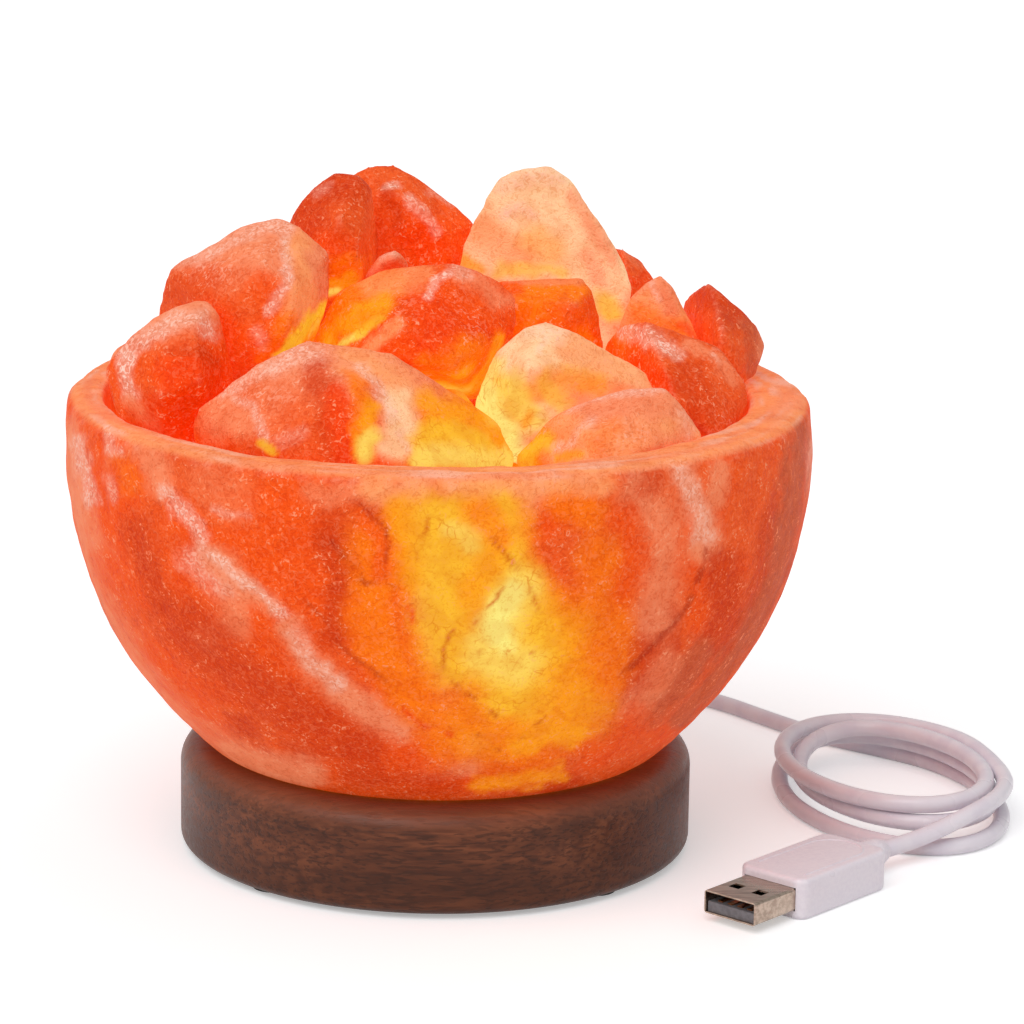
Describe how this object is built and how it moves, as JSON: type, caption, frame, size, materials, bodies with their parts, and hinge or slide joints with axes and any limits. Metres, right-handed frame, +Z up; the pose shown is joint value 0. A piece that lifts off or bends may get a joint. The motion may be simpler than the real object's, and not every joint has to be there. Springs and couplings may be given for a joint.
{
  "type": "salt crystal lamp",
  "caption": "Carved salt bowl filled with rough salt chunks on a turned wood base, lit from inside by a small screw-in bulb and fed by a thin coiled USB lead.",
  "frame": {"origin": "on the lamp's axis, at the surface that the rubber feet stand on", "axes": "+Z up along the axis of base, bulb and bowl, front towards -Y, lead leaves at the back towards +Y, plug and coil to the right (+X)"},
  "size_m": [0.1862, 0.18, 0.13],
  "materials": {
    "black_insulator": "gloss",
    "brass": "drawn",
    "clear_glass": "clear",
    "cover_board": "matt",
    "dark_wood": "satin dark stained wood",
    "filament_yellow": "phosphor coated",
    "foot_rubber": "matt",
    "grommet_rubber": "soft moulded",
    "holder_plastic": "moulded",
    "nickel_cap": "nickel plated",
    "plug_copper": "plated copper",
    "plug_insulator": "moulded",
    "plug_steel": "nickel plated",
    "salt_bowl": "rough carved translucent salt, lit from inside",
    "salt_orange": "rough translucent orange salt",
    "salt_pale": "rough translucent pale salt",
    "salt_red": "rough translucent red salt",
    "screw_steel": "zinc plated",
    "solder": "solder",
    "stem_white": "ceramic white",
    "white_jacket": "satin moulded jacket",
    "white_overmould": "satin moulded",
    "wire_black": "silicone",
    "wire_red": "silicone"
  },
  "bodies": {
    "base": {"bottom_cover": "cover_board", "clamp_screws": "screw_steel", "cord_clamp": "holder_plastic", "cord_coil": "white_jacket", "cord_grommet": "grommet_rubber", "cord_inner": "white_jacket", "cord_lead": "white_jacket", "cord_tail": "white_jacket", "cover_screws": "screw_steel", "holder_body": "holder_plastic", "holder_centre_contact": "brass", "holder_screws": "screw_steel", "holder_thread_shell": "brass", "lead_negative": "wire_black", "lead_positive": "wire_red", "plug_contacts": "plug_copper", "plug_overmould": "white_overmould", "plug_relief": "white_overmould", "plug_shell": "plug_steel", "plug_tongue": "plug_insulator", "rubber_feet": "foot_rubber", "wood_base": "dark_wood"},
    "bowl": {"salt_bowl": "salt_bowl", "chunk_back_left": "salt_red", "chunk_back_middle": "salt_red", "chunk_block": "salt_orange", "chunk_centre": "salt_orange", "chunk_centre_peek": "salt_orange", "chunk_deep_back_left": "salt_orange", "chunk_deep_back_right": "salt_orange", "chunk_deep_front_left": "salt_orange", "chunk_deep_front_right": "salt_orange", "chunk_deep_left": "salt_orange", "chunk_deep_right": "salt_orange", "chunk_front_left": "salt_red", "chunk_front_middle": "salt_pale", "chunk_front_right": "salt_pale", "chunk_glow": "salt_orange", "chunk_left_front": "salt_red", "chunk_left_high": "salt_red", "chunk_left_low": "salt_red", "chunk_rear_far_right": "salt_orange", "chunk_rear_left": "salt_orange", "chunk_rear_middle": "salt_orange", "chunk_rear_right": "salt_orange", "chunk_right_back": "salt_red", "chunk_right_front": "salt_red", "chunk_right_peach": "salt_orange", "chunk_small_back": "salt_red", "chunk_tall": "salt_pale"},
    "bulb_carrier": {"bulb_tip_contact": "solder"},
    "bulb": {"bulb_glass": "clear_glass", "bulb_screw_cap": "nickel_cap", "bulb_insulator": "black_insulator", "bulb_stem": "stem_white", "bulb_filaments": "filament_yellow"}
  },
  "joints": [
    {"name": "bowl_lift", "type": "slide", "parent": "base", "child": "bowl", "axis": [0, 0, 1], "range_m": [0, 0.06]},
    {"name": "bulb_advance", "type": "slide", "parent": "base", "child": "bulb_carrier", "axis": [0, 0, 1], "range_m": [0, 0.01016]},
    {"name": "bulb_turn", "type": "hinge", "parent": "bulb_carrier", "child": "bulb", "pos_m": [0, 0, 0.02], "axis": [0, 0, 1], "range_deg": [0, 1440]}
  ],
  "couplings": [
    {"joint": "bulb_advance", "follows": "bulb_turn", "m_per_rad": 0.00040425}
  ]
}
